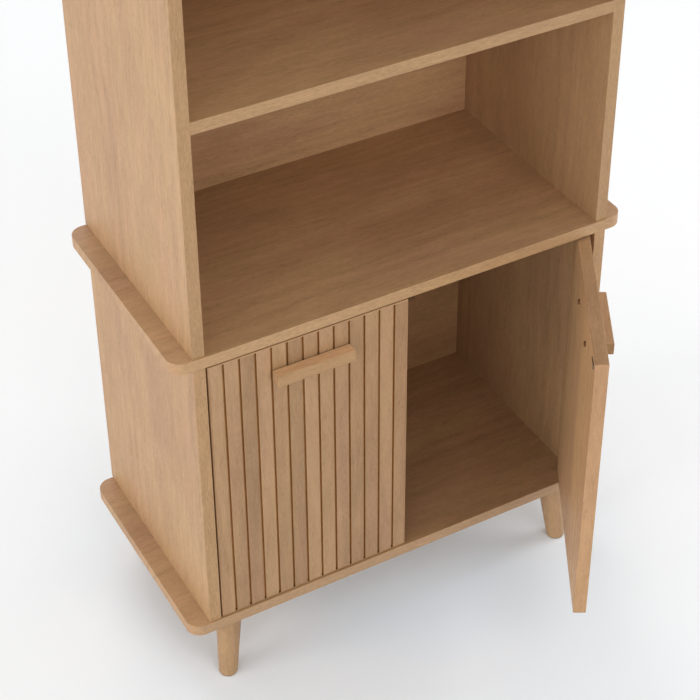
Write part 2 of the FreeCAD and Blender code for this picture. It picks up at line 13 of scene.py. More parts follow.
import bpy
import numpy as np
from mathutils import Matrix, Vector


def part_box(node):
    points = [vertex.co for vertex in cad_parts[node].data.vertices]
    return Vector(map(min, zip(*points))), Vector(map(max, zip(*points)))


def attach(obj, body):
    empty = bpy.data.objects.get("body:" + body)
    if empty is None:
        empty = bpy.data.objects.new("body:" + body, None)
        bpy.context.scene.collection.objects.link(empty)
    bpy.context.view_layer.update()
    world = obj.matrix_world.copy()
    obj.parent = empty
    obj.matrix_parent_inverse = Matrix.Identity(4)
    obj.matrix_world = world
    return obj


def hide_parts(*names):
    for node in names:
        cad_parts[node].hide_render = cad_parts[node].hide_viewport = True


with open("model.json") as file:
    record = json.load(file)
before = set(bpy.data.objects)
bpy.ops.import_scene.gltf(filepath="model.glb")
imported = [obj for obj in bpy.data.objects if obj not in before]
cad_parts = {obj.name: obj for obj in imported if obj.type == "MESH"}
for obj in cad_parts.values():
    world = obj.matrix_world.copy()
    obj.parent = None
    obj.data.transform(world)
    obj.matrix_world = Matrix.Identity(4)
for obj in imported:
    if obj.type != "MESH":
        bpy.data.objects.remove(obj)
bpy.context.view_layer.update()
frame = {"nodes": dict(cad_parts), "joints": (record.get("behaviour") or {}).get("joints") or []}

# %% [markdown]
# ## From rings to a mesh
#
# Almost every piece of this furniture is a slab or a bar: one outline, carried along a straight
# line, with softened rims. Blender could make them from boxes and a Bevel modifier, but then the
# width of each rim is a side effect. Here a piece is a stack of rings. Each ring has the same
# number of points, quads join a ring to the next one, and a flat polygon closes each end. So the
# whole shape is one array of rings x points x 3 numbers.

# %% Skin a stack of rings
def skin(rings):
    """Vertices and faces of a closed shell round a stack of rings.

    Point k of ring j is joined to point k + 1 and to the same two points of ring j + 1. Rings
    turn anticlockwise seen from the last ring, so that all faces point outwards."""
    count, size = rings.shape[:2]
    here = np.arange(size)
    after = np.roll(here, -1)
    low = np.arange(count - 1)[:, None] * size
    quads = np.stack([low + here, low + after, low + size + after, low + size + here], -1)
    caps = [here[::-1].tolist(), (here + (count - 1) * size).tolist()]
    return rings.reshape(-1, 3), quads.reshape(-1, 4).tolist() + caps


def new_object(name, data):
    """An object in the scene for a mesh, a light or a camera."""
    made = bpy.data.objects.new(name, data)
    bpy.context.scene.collection.objects.link(made)
    return made


SHARP_DEGREES = 35


def add_piece(name, shells, body, replaces, material, sticks=None, lying=()):
    """One object from one or more shells, riding on a body in place of the nodes it replaces.

    Edges sharper than SHARP_DEGREES stay crisp, the others are shaded round. Where each shell is
    a stick of its own, sticks are two random seeds: for each stick's step in the wood, and for
    its tone. lying numbers the sticks whose grain runs across."""
    points, faces, shell_of, used = [], [], [], 0
    for number, (own_points, own_faces) in enumerate(shells):
        points.append(own_points)
        faces += [[index + used for index in face] for face in own_faces]
        shell_of.append(np.full(len(own_points), number))
        used += len(own_points)
    points = np.concatenate(points)
    mesh = bpy.data.meshes.new(name)
    mesh.from_pydata(points.tolist(), [], faces)
    if sticks is not None:
        stick = np.concatenate(shell_of)
        steps = np.random.default_rng(sticks[0]).uniform(0, 1, (len(shells), 3))
        tones = np.random.default_rng(sticks[1]).uniform(0, 1, len(shells))
        layer = mesh.attributes.new("step", "FLOAT_VECTOR", "POINT")
        layer.data.foreach_set("vector", steps[stick].ravel())
        for key, values in (("tone", tones[stick]), ("lying", np.isin(stick, lying) * 1.0)):
            layer = mesh.attributes.new(key, "FLOAT", "POINT")
            layer.data.foreach_set("value", values)
    mesh.shade_smooth()
    mesh.set_sharp_from_angle(angle=math.radians(SHARP_DEGREES))
    mesh.materials.append(material)
    piece = new_object(name, mesh)
    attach(piece, body)
    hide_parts(*replaces)
    print("%-22s %6d points %6d faces" % (name, len(points), len(faces)))


# %% [markdown]
# ## Outlines with round corners, and soft rims
#
# A cabinet maker breaks every edge a little, so that it doesn't splinter and feels pleasant. In
# a picture that rim is what draws a thin line of light along each board. Two helpers make it:
# one rounds the corners of an outline, the other gives the section of the rim, as pairs of
# "how far inwards" and "how high". A point is added just beside each arc, on the flat: it holds
# the flat's shading flat, so that no soft gradient creeps over a wide panel.

# %% Outline and rim
HOLD, FINE_HOLD = 0.0006, 0.0002     # how far beside an arc the point on the flat lies


def rounded_outline(corners, radii, steps=6, hold=HOLD):
    """Points and outward normals of a closed outline with arcs for corners.

    At a corner with turn t and radius r the arc starts r * tan(t / 2) before the corner. Its
    centre lies r to the inside of that point. A radius of 0 keeps the corner, with the
    normal along the bisector, lengthened by 1 / cos(t / 2), so that an inset keeps its width."""
    corners = np.asarray(corners, float)
    into = corners - np.roll(corners, 1, 0)
    into /= np.linalg.norm(into, axis=1, keepdims=True)
    out = np.roll(into, -1, 0)
    turn = np.arctan2(into[:, 0] * out[:, 1] - into[:, 1] * out[:, 0], (into * out).sum(1))
    points, normals = [], []
    for corner, a, b, angle, radius in zip(corners, into, out, turn, radii):
        right = np.array([a[1], -a[0]])
        right_b = np.array([b[1], -b[0]])
        if radius == 0:
            middle = (right + right_b) / np.linalg.norm(right + right_b)
            points.append(corner[None])
            normals.append(middle[None] / math.cos(angle / 2))
            continue
        start = corner - a * radius * math.tan(angle / 2)
        end = corner + b * radius * math.tan(angle / 2)
        bend = np.linspace(0, angle, steps + 1)[:, None]
        spoke = right * np.cos(bend) + a * np.sin(bend)
        points.append(np.vstack([start - a * hold, start - right * radius + spoke * radius,
                                 end + b * hold]))
        normals.append(np.vstack([right, spoke, right_b]))
    return np.vstack(points), np.vstack(normals)


def box_outline(low, high, radii, **options):
    """The outline of a rectangle, anticlockwise from its low corner; one radius per corner."""
    (u0, v0), (u1, v1) = low, high
    return rounded_outline([(u0, v0), (u1, v0), (u1, v1), (u0, v1)], radii, **options)


def rim(low, high, soft_low, soft_high, steps=5, hold=HOLD):
    """Pairs of (inset, height) from the lower face, over the rim, to the upper face.

    A soft rim of radius r is a quarter circle: the inset is r * (1 - sin q) and the height
    r * (1 - cos q), for q from 0 to a right angle."""
    angle = np.linspace(0, math.pi / 2, steps + 1)
    inwards, rise = 1 - np.sin(angle), 1 - np.cos(angle)
    lower, upper = [(0.0, low)], [(0.0, high)]
    if soft_low:
        lower = [(soft_low + hold, low), *zip(soft_low * inwards, low + soft_low * rise),
                 (0.0, low + soft_low + hold)]
    if soft_high:
        upper = [(soft_high + hold, high), *zip(soft_high * inwards, high - soft_high * rise),
                 (0.0, high - soft_high - hold)]
    return np.array(lower + upper[::-1])


def slab(outline, normals, section, axis="z"):
    """A shell: each pair of the section insets the outline along its normals and lifts it.

    The outline lies in the plane across the axis, in the cyclic order x, y, z: (x, y) for z,
    (y, z) for x, (z, x) for y. A cyclic change of axes keeps the faces pointing outwards."""
    inset, height = section[:, 0], section[:, 1]
    flat = outline[None] - inset[:, None, None] * normals[None]
    level = np.broadcast_to(height[:, None, None], (*flat.shape[:2], 1))
    rings = np.concatenate([flat, level], -1)
    return skin(np.roll(rings, {"z": 0, "x": 1, "y": 2}[axis], axis=-1))


# %% [markdown]
# ## The wood
#
# All the visible wood is light oak, so the whole look rests on one recipe. The recipe imitates
# the tree and not a picture of it. A trunk is a set of year rings round a pith. A board is a
# plane cut close to the pith's direction, so the rings show as long streaks, and where the cut
# grazes a ring, as tall arches. No two years were alike, so a ring's tone is noise of its
# distance from the pith and not a regular wave. Over the rings lie broad drifts, streaks a
# finger wide, narrow streaks, fibres, and the short dark pores that oak has in the first wood of
# each year. Every layer is stretched along the grain, and every layer is weak: oak veneer is
# calm from afar and only comes alive close up. The helpers below write such a recipe in short
# lines.

# %% Node helpers
def node(tree, kind, sockets=None, **settings):
    """Adds one node; a socket's value is a constant, or an output that is linked to it."""
    made = tree.nodes.new("ShaderNode" + kind)
    for key, value in settings.items():
        setattr(made, key, value)
    for key, value in (sockets or {}).items():
        if isinstance(value, bpy.types.NodeSocket):
            tree.links.new(value, made.inputs[key])
        else:
            made.inputs[key].default_value = value
    return made


def ramp(tree, factor, stops, ease="EASE"):
    """A colour ramp; stops are (position, grey) or (position, (r, g, b)) pairs."""
    made = node(tree, "ValToRGB", {"Fac": factor})
    made.color_ramp.interpolation = ease
    handles = made.color_ramp.elements
    while len(handles) < len(stops):
        handles.new(0.5)
    for handle, (position, colour) in zip(handles, stops):
        handle.position = position
        rgb = colour if isinstance(colour, tuple) else (colour,) * 3
        handle.color = (*rgb, 1)
    return made.outputs["Color"]


def math_node(tree, operation, *values):
    """One Math node."""
    return node(tree, "Math", dict(enumerate(values)), operation=operation).outputs[0]


def vector_node(tree, operation, *values, output="Vector"):
    """One Vector Math node."""
    made = node(tree, "VectorMath", dict(enumerate(values)), operation=operation)
    return made.outputs[output]


def noise(tree, vector, factors, detail=2.0, roughness=0.5, output="Fac"):
    """Smooth noise with its own frequency, per metre, along each axis."""
    stretched = vector_node(tree, "MULTIPLY", vector, factors)
    return node(tree, "TexNoise", {"Vector": stretched, "Scale": 1.0, "Detail": detail,
                                   "Roughness": roughness}).outputs[output]


def weave(tree, layers):
    """The sum of weight * (layer - 1/2) over all layers, plus 1/2: layers that are even on
    average leave the middle where it was."""
    total = 0.5 - 0.5 * sum(weight for _, weight in layers)
    for layer, weight in layers:
        total = math_node(tree, "MULTIPLY_ADD", layer, weight, total)
    return total


def blend(tree, factor, first, second, kind="MIX"):
    """Mixes two colours."""
    made = node(tree, "Mix", data_type="RGBA", blend_type=kind)
    for key, value in ((0, factor), (6, first), (7, second)):
        if isinstance(value, bpy.types.NodeSocket):
            tree.links.new(value, made.inputs[key])
        else:
            made.inputs[key].default_value = value if key == 0 else (*value, 1)
    return made.outputs[2]


def new_material(name):
    """An empty node material and its Principled shader."""
    material = bpy.data.materials.new(name)
    material.use_nodes = True
    return material, material.node_tree, material.node_tree.nodes["Principled BSDF"]


# %% [markdown]
# ## Where a piece lay in the log
#
# Veneer is cut and laid with its grain along the longer side, so each material states its grain
# direction and where its log lay. The Mapping node of type Texture turns the object's own
# coordinates into "along the grain, across the face, into the depth". A door's slats are sticks
# from many logs. One material for each stick would do, but two dozen copies are hard to keep
# alike. Each stick's step, tone and direction lie in the mesh instead, and one recipe reads them.

# %% Place in the log
LAYS = {                       # grain direction and face: the turn, and the face's own direction
    "x up": ((0, 0, 0), (0, 0, 1)),
    "x front": ((math.pi / 2, 0, 0), (0, 1, 0)),
    "z side": ((0, -math.pi / 2, 0), (1, 0, 0)),
    "z front": ((math.pi / 2, -math.pi / 2, 0), (0, 1, 0)),
}
STICK_STEPS = (3.1, 0.19, 0.11)     # metres in the log over which the sticks are spread


def stick_place(tree, local):
    """The sticks' own places in the log, and their tones. A lying stick's is turned by 90 degrees:
    place = upright + lying * (turned - upright)."""
    step, tone, lying = (node(tree, "Attribute", attribute_name=key, attribute_type="GEOMETRY")
                         for key in ("step", "tone", "lying"))
    upright = vector_node(tree, "MULTIPLY_ADD", step.outputs["Vector"], STICK_STEPS, local)
    turned = node(tree, "Mapping", {"Vector": upright, "Rotation": (0, 0, math.pi / 2)},
                  vector_type="POINT").outputs[0]
    change = vector_node(tree, "SUBTRACT", turned, upright)
    place = vector_node(tree, "MULTIPLY_ADD", change, lying.outputs["Fac"], upright)
    return place, tone.outputs["Fac"]


def facing(tree, normal, directions):
    """1 where the surface looks along one of the directions, else 0."""
    most = 0.0
    for direction in directions:
        along = vector_node(tree, "DOT_PRODUCT", normal, direction, output="Value")
        most = math_node(tree, "MAXIMUM", along, most)
    return ramp(tree, most, [(0.5, 0.0), (0.75, 1.0)])


# %% [markdown]
# ## One oak for every piece
#
# A picture of veneer would be quick, but it repeats, and it smears over the edges of a piece. A
# recipe in three dimensions has no seams: a streak that leaves a face goes on round its edge.
# The recipe takes what differs from piece to piece as its arguments: where the log lay, how
# bright the piece is, and which faces are special. Two kinds are: the narrow edges of the boards
# carry a strip of veneer from another tree, and some faces are rough and dull, as faces straight
# from the saw, and darker by painted shade: the flanks and floors of the door's grooves, and the
# fronts and ends of the handles.

# %% Oak
OAK_PALE = (0.500, 0.300, 0.153)
OAK_DEEP = (0.318, 0.182, 0.085)
OAK_PORE = (0.150, 0.085, 0.040)
# Tint of the painted shade on dull faces: the slats' flanks and the core's front, in the grooves
DULL_SHADE_TINT = (0.92, 0.80, 0.60)
BAND_PALE, BAND_DEEP = (1.04, 1.04, 0.98), (0.80, 0.78, 0.71)
BAND_CALM = 0.65                    # how much of the face's own figure the strip leaves out
RINGS_PER_METRE = 90.0
GRAIN_WANDER, RING_WANDER = 0.015, 0.05     # metres by which fibres and rings run out of true


def year_rings(tree, wavy, pith, tilt):
    """One tone for each ring: noise of the distance from a pith that leans by the tilt."""
    trunk = node(tree, "Mapping", {"Vector": wavy, "Rotation": (0, tilt, 0),
                                   "Location": (0, *pith)}, vector_type="POINT").outputs[0]
    flat = vector_node(tree, "MULTIPLY", trunk, (0, 1, 1))
    distance = vector_node(tree, "LENGTH", flat, output="Value")
    return node(tree, "TexNoise", {"W": math_node(tree, "MULTIPLY", distance, RINGS_PER_METRE),
                                   "Scale": 1.0, "Detail": 2.0, "Roughness": 0.5},
                noise_dimensions="1D").outputs["Fac"]


def edge_strip(tree, wood, middling, fibres, band):
    """The veneer that closes a board's edge: evener than its face, but with coarse fibres."""
    light, dark = (tuple(x * y for x, y in zip(band, tint)) for tint in (BAND_PALE, BAND_DEEP))
    coarse = ramp(tree, fibres, [(0.0, light), (1.0, dark)], "LINEAR")
    return blend(tree, 1.0, blend(tree, BAND_CALM, wood, middling), coarse, "MULTIPLY")


def oak(name, lay, centre=(0, 0, 0), swing=0.0, pith=(0.05, 0.045), tilt=0.02, sticks=False,
        lift=1.0, contrast=1.0, band=None, bare=(), dull_shaded=(), shade_tint=DULL_SHADE_TINT, dull_shaded_below=9.0,
        sheen=0.5):
    """Light oak. lay names the grain and face; pith says how far across and how deep below the
    piece's centre the heart of the log ran, tilt how much it leaned out of the face; lift
    brightens or darkens the whole piece. band gives the narrow faces the coarser, yellower
    strip of veneer that closes the edge of a board, in this tint; bare lists the directions of
    narrow faces without it. sawn lists the directions of faces that are rough and dull, as faces
    straight from the saw, and darker by shade_tint, up to the height dull_shaded_below: that
    darkening is painted shade, for faces in grooves and on the fronts and ends of the handles.
    sticks says that the piece is made of sticks, each with a step, a tone and a direction of its
    own."""
    material, tree, shader = new_material(name)
    turn, face = LAYS[lay]
    coordinates = node(tree, "TexCoord").outputs
    local = node(tree, "Mapping", {"Vector": coordinates["Object"], "Location": centre,
                                   "Rotation": (turn[0], turn[1], turn[2] + swing)},
                 vector_type="TEXTURE").outputs[0]
    if sticks:
        local, tone = stick_place(tree, local)

    wander = noise(tree, local, (3, 9, 9), 3.0, 0.6, "Color")
    straight, wavy = (vector_node(tree, "MULTIPLY_ADD", wander, (0, reach, reach), local)
                      for reach in (GRAIN_WANDER, RING_WANDER))
    years = year_rings(tree, wavy, pith, tilt)
    broad = noise(tree, local, (2.2, 11, 11), 2.0)
    smudge = noise(tree, straight, (11, 32, 32), 2.0, 0.55)
    narrow = noise(tree, straight, (24, 180, 180), 3.0, 0.62)
    fibre = noise(tree, straight, (120, 720, 720), 2.0, 0.6)
    cast = noise(tree, local, (3, 14, 14), 2.0, 0.6)
    pore = ramp(tree, noise(tree, straight, (95, 1500, 1500), 1.0), [(0.55, 0.0), (0.70, 1.0)])

    layers = [(years, 0.45), (broad, 0.85), (smudge, 0.75), (narrow, 0.8), (fibre, 0.9)]
    if sticks:
        layers.append((tone, 0.5))
    depth = weave(tree, [(layer, contrast * weight) for layer, weight in layers])
    pale, deep = (tuple(lift * part for part in colour) for colour in (OAK_PALE, OAK_DEEP))
    wood = blend(tree, depth, pale, deep)
    rosy = ramp(tree, cast, [(0.35, (1.0, 1.0, 0.96)), (0.65, (1.0, 0.955, 0.985))])
    wood = blend(tree, 1.0, wood, rosy, "MULTIPLY")
    if band:
        middling = tuple((x + y) / 2 for x, y in zip(pale, deep))
        fibres = weave(tree, [(fibre, 2.2), (narrow, 0.7)])
        strip = edge_strip(tree, wood, middling, fibres, band)
        faces = (face, tuple(-x for x in face), *bare)
        wood = blend(tree, facing(tree, coordinates["Normal"], faces), strip, wood)
    pored = math_node(tree, "MULTIPLY", pore, math_node(tree, "MULTIPLY", years, 0.55))
    wood = blend(tree, pored, wood, OAK_PORE)
    rough = math_node(tree, "MULTIPLY_ADD", pored, 0.4,
                      math_node(tree, "MULTIPLY_ADD", narrow, 0.2, 0.42))
    # Painted shade: the listed faces are darkened by the tint, and made rough and dull
    if dull_shaded:
        height = node(tree, "SeparateXYZ", {0: coordinates["Object"]}).outputs["Z"]
        dull_shaded_mask = math_node(tree, "MULTIPLY", facing(tree, coordinates["Normal"], dull_shaded),
                        math_node(tree, "LESS_THAN", height, dull_shaded_below))
        wood = blend(tree, dull_shaded_mask, wood, blend(tree, 1.0, wood, shade_tint, "MULTIPLY"))
        rough = math_node(tree, "MULTIPLY_ADD", dull_shaded_mask, 0.4, rough)
        tree.links.new(math_node(tree, "MULTIPLY_ADD", dull_shaded_mask, -0.9 * sheen, sheen),
                       shader.inputs["Specular IOR Level"])
    else:
        shader.inputs["Specular IOR Level"].default_value = sheen
    tree.links.new(wood, shader.inputs["Base Color"])
    tree.links.new(rough, shader.inputs["Roughness"])

    relief = math_node(tree, "MULTIPLY_ADD", fibre, 0.4, math_node(tree, "MULTIPLY", pored, -1.0))
    bump = node(tree, "Bump", {"Height": relief, "Strength": 0.5, "Distance": 0.0002})
    tree.links.new(bump.outputs[0], shader.inputs["Normal"])
    return material


# %% [markdown]
# ## Metal, plastic, felt and the hidden birch
#
# The fittings are small, but a close look finds them: zinc-plated screws with a slightly cloudy
# shine, a dark strike plate, brown screw heads on the doors, brown bushes and catch housings,
# felt under the feet and birch dowels inside the joints. One short recipe with a colour, a metal
# share and a roughness makes them all. Noise breaks up its tone and its roughness, because a
# perfectly even surface looks like nothing real.

# %% Materials of the fittings
def fitting(name, colour, metallic, rough, uneven=0.12, grain=900, tint=0.12, bump=0.00003,
            shine=0.5):
    """A plain finish with small, even differences in tone, roughness and height."""
    material, tree, shader = new_material(name)
    place = node(tree, "TexCoord").outputs["Object"]
    fine = noise(tree, place, (grain,) * 3, 3.0, 0.6)
    cloudy = noise(tree, place, (grain / 9,) * 3, 2.0)
    dark = tuple(part * (1 - tint) for part in colour)
    pale = tuple(min(1.0, part * (1 + tint)) for part in colour)
    tone = blend(tree, cloudy, dark, pale)
    tree.links.new(tone, shader.inputs["Base Color"])
    tree.links.new(math_node(tree, "MULTIPLY_ADD", fine, uneven, rough - uneven / 2),
                   shader.inputs["Roughness"])
    shader.inputs["Metallic"].default_value = metallic
    shader.inputs["Specular IOR Level"].default_value = shine
    relief = node(tree, "Bump", {"Height": fine, "Strength": 0.4, "Distance": bump})
    tree.links.new(relief.outputs[0], shader.inputs["Normal"])
    return material


zinc = fitting("zinc_plate", (0.60, 0.60, 0.57), 1.0, 0.36)
strike_steel = fitting("strike_steel", (0.20, 0.175, 0.165), 1.0, 0.42)
brown_screw = fitting("brown_screw", (0.17, 0.085, 0.042), 0.2, 0.6, shine=0.15)
nylon = fitting("bush_nylon", (0.10, 0.055, 0.028), 0.0, 0.6, shine=0.1)
catch_plastic = fitting("catch_plastic", (0.12, 0.062, 0.028), 0.0, 0.8, shine=0.05)
magnet = fitting("catch_magnet", (0.09, 0.05, 0.026), 0.0, 0.6, shine=0.05)
felt = fitting("foot_felt", (0.13, 0.085, 0.055), 0.0, 0.95, 0.05, 2600, 0.3, 0.0002)
birch = oak("dowel_birch", "z front", pith=(0.2, 0.3), lift=1.25, contrast=0.5)

# %% [markdown]
# ## The three boards
#
# The bottom, middle and top boards reach 30 mm past the sides. Their corners are round in plan
# and their rims are crisp, broken by only half a millimetre above and below. A Bevel modifier
# would round both alike. One outline, inset and lifted along the rim's section, keeps the two
# radii apart. The year rings are cut differently on each board, and the strip on the front edge
# has a brightness of its own.

# %% Boards
def span(name):
    """Low and high corner of a node as arrays."""
    low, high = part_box(name)
    return np.array(low), np.array(high)


BOARD_CORNER, BOARD_RIM = 0.022, 0.0005
BOARDS = (                     # name, pith, tilt, and tint of the strip on the front edge
    ("bottom_board", (0.14, 0.05), 0.03, (1.09, 1.14, 1.29)),
    # The middle board's front strip is painted a little brighter, to make up for the shade that
    # the open door casts on its right part
    ("middle_board", (0.22, 0.06), 0.025, (1.12, 1.15, 1.21)),
    ("top_board", (-0.16, 0.05), 0.03, (1.08, 1.12, 1.20)))
for name, pith, tilt, band in BOARDS:
    low, high = span(name)
    outline = box_outline(low[:2], high[:2], [BOARD_CORNER] * 4, steps=14)
    section = rim(low[2], high[2], BOARD_RIM, BOARD_RIM)
    finish = oak("oak_" + name, "x up", (low + high) / 2, pith=pith, tilt=tilt, band=band,
                 bare=((1, 0, 0), (-1, 0, 0)))
    add_piece(name + "_veneer", [slab(*outline, section)], "carcass", [name], finish)

# %% [markdown]
# ## Sides
#
# A side panel is one section, seen from above, carried upwards: hardly broken at the two front
# edges, with a step behind for the back sheet. A box with a second box cut out of it would give
# the same form, but the cut leaves a mesh with long, thin faces that shade badly.

# %% Sides
SIDE_RIM = 0.0003
SIDES = (                      # name, tilt, brightness of the face and of the strip on the edge
    ("cabinet_side_left", 0.03, 1.0, 1.09),
    # The right cabinet side's edge strip is painted brighter, standing in for light that the open
    # door throws on it
    ("cabinet_side_right", -0.02, 1.0, 1.2),
    ("hutch_side_left", 0.02, 1.0, 0.98),
    # The right hutch side is a little darker, as painted shade for the shade inside the hutch
    ("hutch_side_right", 0.03, 0.96, 1.02))
back_low, back_high = span("hutch_back")
step_y = back_low[1]
for name, tilt, lift, band in SIDES:
    low, high = span(name)
    if low[0] < 0:
        step_x = back_low[0]
        corners = [(low[0], low[1]), (high[0], low[1]), (high[0], step_y), (step_x, step_y),
                   (step_x, high[1]), (low[0], high[1])]
    else:
        step_x = back_high[0]
        corners = [(low[0], low[1]), (high[0], low[1]), (high[0], high[1]), (step_x, high[1]),
                   (step_x, step_y), (low[0], step_y)]
    outline = rounded_outline(corners, [SIDE_RIM, SIDE_RIM, 0, 0, 0, 0], steps=5)
    finish = oak("oak_" + name, "z side", (low + high) / 2, tilt=tilt, contrast=0.85,
                 pith=(0.03 if low[0] < 0 else -0.06, 0.07), lift=lift, band=(band,) * 3)
    add_piece(name + "_veneer", [slab(*outline, rim(low[2], high[2], 0, 0))], "carcass",
              [name], finish)

# %% [markdown]
# ## Shelves
#
# A shelf sits between the sides, level with their front edges, with square ends that butt
# against them. It could be made as the boards are, seen from above. Its section seen from the
# side is simpler: a rectangle with two softened corners, carried across.

# %% Shelves
for name, pith in (("lower_shelf", (0.1, 0.05)), ("upper_shelf", (-0.12, 0.06))):
    low, high = span(name)
    outline = box_outline(low[1:], high[1:], [SIDE_RIM, 0, 0, SIDE_RIM], steps=5)
    finish = oak("oak_" + name, "x up", (low + high) / 2, pith=pith, tilt=0.03,
                 band=(0.99,) * 3)
    add_piece(name + "_veneer", [slab(*outline, rim(low[0], high[0], 0, 0), axis="x")],
              "carcass", [name], finish)

# %% [markdown]
# ## Backs
#
# The backs are thin sheets with sharp edges and a nail every few fingers. Nothing on them is
# rounded, so the nodes keep their meshes. Their grain runs across, as the shelves' does.

# %% Backs
def dress(names, material):
    """Puts a material on nodes that keep their own mesh."""
    for name in names:
        mesh = frame["nodes"][name].data
        mesh.materials.clear()
        mesh.materials.append(material)
        print("%-22s in %s" % (name, material.name))


for name, pith in (("cabinet_back", (0.1, 0.04)), ("hutch_back", (0.2, 0.05))):
    low, high = span(name)
    dress([name], oak("oak_" + name, "x front", (low + high) / 2, pith=pith, tilt=0.03, lift=1.22))

# %% [markdown]
# ## Turned legs
#
# A leg is turned on a lathe as a plain cone and set leaning, then cut level with the floor and
# with the board. So it isn't a cylinder with a tilt: each straight line of the cone's surface
# ends where it meets the level of the cut. Solving for that gives level rings on a leaning cone,
# and the same formula rounds the foot by drawing the last rings inwards.

# %% Legs
LEG_TOP, LEG_FOOT = 0.020, 0.0142              # radii of the cone, above and below
FOOT_ROUND, FOOT_HOLD = 0.001, 0.0004          # radius of the foot's rim, and the flat beside it
LEG_LEAN = math.tan(math.radians(8)) / math.sqrt(2)     # each way, for a splay of 8 degrees
LEG_IN_X, LEG_IN_Y = 0.074, 0.034              # from the board's edges to the leg's middle
PAD = 0.0015                                   # thickness of the felt under the foot
board_low, board_high = span("bottom_board")


def turned_leg(top, out, rounds=72):
    """A leaning cone cut level.

    A line of the surface runs from the foot circle to the top circle at a fixed angle. Its
    height is h(t) = foot + t * axis_z + radius(t) * spoke_z, with the radius linear in t, so
    the t for a wanted level is (level - foot - r0 * spoke_z) / (axis_z + slope * spoke_z).
    Near the foot the rings are drawn in by a quarter circle."""
    axis = np.array([-out[0] * LEG_LEAN, -out[1] * LEG_LEAN, 1.0])
    axis /= np.linalg.norm(axis)
    first = np.cross(axis, [0.0, 1.0, 0.0])
    first /= np.linalg.norm(first)
    second = np.cross(axis, first)
    length = top[2] / axis[2]
    foot = top - axis * length
    slope = (LEG_TOP - LEG_FOOT) / length
    angle = np.linspace(0, 2 * math.pi, rounds, endpoint=False)[None, :, None]
    spoke = np.cos(angle) * first + np.sin(angle) * second
    arc = np.linspace(0, math.pi / 2, 7)
    levels = np.concatenate([[PAD], PAD + FOOT_ROUND * (1 - np.cos(arc)),
                             np.linspace(PAD + FOOT_ROUND, top[2], 9)[1:]])
    insets = np.concatenate([[FOOT_ROUND + FOOT_HOLD], FOOT_ROUND * (1 - np.sin(arc)),
                             np.zeros(8)])
    levels, insets = levels[:, None, None], insets[:, None, None]
    along = (levels - foot[2] - LEG_FOOT * spoke[..., 2:]) / (axis[2] + slope * spoke[..., 2:])
    rings = foot + along * axis + (LEG_FOOT + slope * along - insets) * spoke
    rings[..., 2] = levels[..., 0]
    return skin(rings)


for row, out_y in (("front", -1), ("rear", 1)):
    for hand, out_x in (("left", -1), ("right", 1)):
        name = "leg_%s_%s" % (row, hand)
        edge_y = board_low[1] if out_y < 0 else board_high[1]
        top = np.array([out_x * (board_high[0] - LEG_IN_X), edge_y - out_y * LEG_IN_Y,
                        board_low[2]])
        finish = oak("oak_" + name, "z front", top, pith=(0.03 * out_x, 0.03 * out_y), tilt=0.03,
                     lift=0.92)
        add_piece(name + "_turned", [turned_leg(top, (out_x, out_y))], "carcass",
                  [name], finish)

# %% [markdown]
# ## Doors
#
# A door is a flat core with thirteen vertical slats glued to its front and a thin edging strip
# on all four edges. The right door stands open. Its points could be written down as they stand,
# but every number would be a riddle. So it is worked out shut, like the left one, and then
# turned about its pivot, and the frame's joints say where that is and how far the door is open.

# %% Where the doors stand
hinges = {}
for joint in frame["joints"]:
    opening = -joint["range_deg"][0]
    pivot, angle = np.array(joint["pos_m"]), math.radians(opening)
    hinges[joint["child"]] = (pivot, angle, np.array(Matrix.Rotation(angle, 3, "Z")))
    print("%s rests %.0f degrees open about x %.4f, y %.4f"
          % (joint["child"], opening, *pivot[:2]))


def swung(points, door):
    """Points turned about the door's upright pivot: x and y mix by the cosine and sine."""
    pivot, _, turn = hinges[door]
    return (points - pivot) @ turn.T + pivot


def opened(shells, door):
    """The shells of a shut door, turned to where the door rests."""
    return [(swung(points, door), faces) for points, faces in shells]


shut_low, shut_high = span("left_door_edging")
DOOR_WIDTH = shut_high[0] - shut_low[0]
EDGING, GROOVE, SLATS, SLAT_DEPTH, SLAT_RIM = 0.002, 0.0032, 13, 0.004, 0.0005
PITCH = (DOOR_WIDTH + GROOVE) / SLATS
SLAT_STICKS, EDGING_STICKS = (1, 2), (3, 4)     # seeds of their steps and tones
print("door %.1f mm wide, slat pitch %.2f mm" % (DOOR_WIDTH * 1000, PITCH * 1000))


def across(side, *runs):
    """x of shut-door points measured from the hinge edge, in rising order."""
    return sorted(side * (-shut_low[0] - run) for run in runs)


# %% [markdown]
# ## Slats
#
# A slat is a thin bar, and a groove is what is left between two of them. A bump texture could
# draw the grooves, but a bump has no depth: seen from the side they would vanish, and no shadow
# would lie in them. So thirteen real bars stand at equal steps, and the first and the last give
# way to the edging. Each takes its own step in the log, as if it came from another stick.

# %% Slats
def slat_shells(side):
    """Thirteen bars with soft front edges; the two outer ones are narrower by the edging."""
    shells = []
    section = rim(shut_low[2] + EDGING, shut_high[2] - EDGING, 0, 0)
    for number in range(SLATS):
        left, right = across(side, max(number * PITCH, EDGING),
                             min((number + 1) * PITCH - GROOVE, DOOR_WIDTH - EDGING))
        outline = box_outline((left, shut_low[1]), (right, shut_low[1] + SLAT_DEPTH),
                              [SLAT_RIM, SLAT_RIM, 0, 0], steps=4, hold=0.0003)
        shells.append(slab(*outline, section))
    return shells


# %% [markdown]
# ## Edging
#
# Thin strips close the four edges of a door, so that neither the core nor the slats' ends show.
# A frame of one piece would do from afar. Four strips are truer: the two across cover the ends
# of the two upright ones, and each is softened only on its outer edges, so that no fold breaks
# the light on the door's front.

# %% Edging
EDGING_CORNER, EDGING_RIM = 0.001, 0.0007


